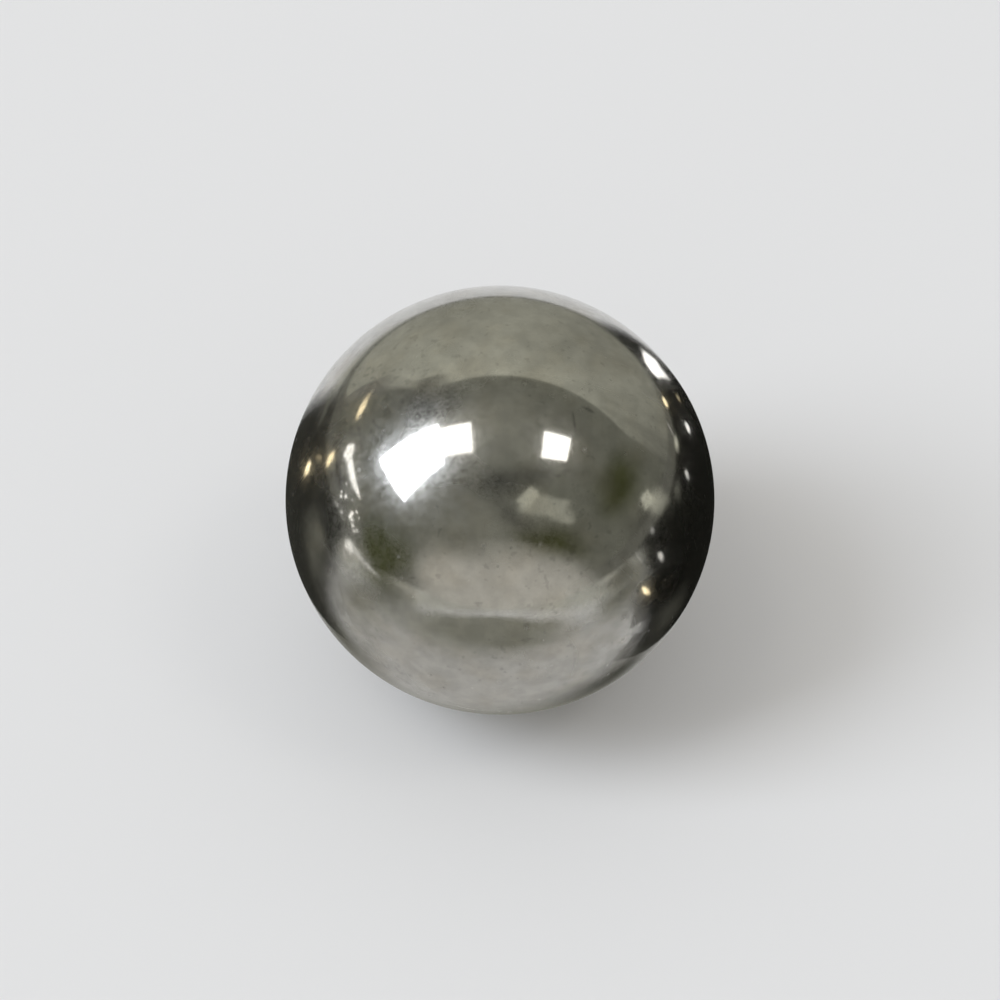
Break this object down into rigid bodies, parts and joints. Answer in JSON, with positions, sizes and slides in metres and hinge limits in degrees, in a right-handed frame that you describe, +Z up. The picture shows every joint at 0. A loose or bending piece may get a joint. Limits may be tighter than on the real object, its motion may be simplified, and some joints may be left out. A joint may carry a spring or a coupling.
{
  "type": "steel ball",
  "caption": "Solid polished steel ball, a true sphere that rolls, or sits in a cup, ring or groove.",
  "frame": {"origin": "centre of the ball", "axes": "+Z up; a ball has no front, so X and Y are free choices"},
  "size_m": [0.0254, 0.0254, 0.0254],
  "materials": {
    "polished_steel": "polished"
  },
  "bodies": {
    "root": {"ball": "polished_steel"}
  },
  "joints": []
}
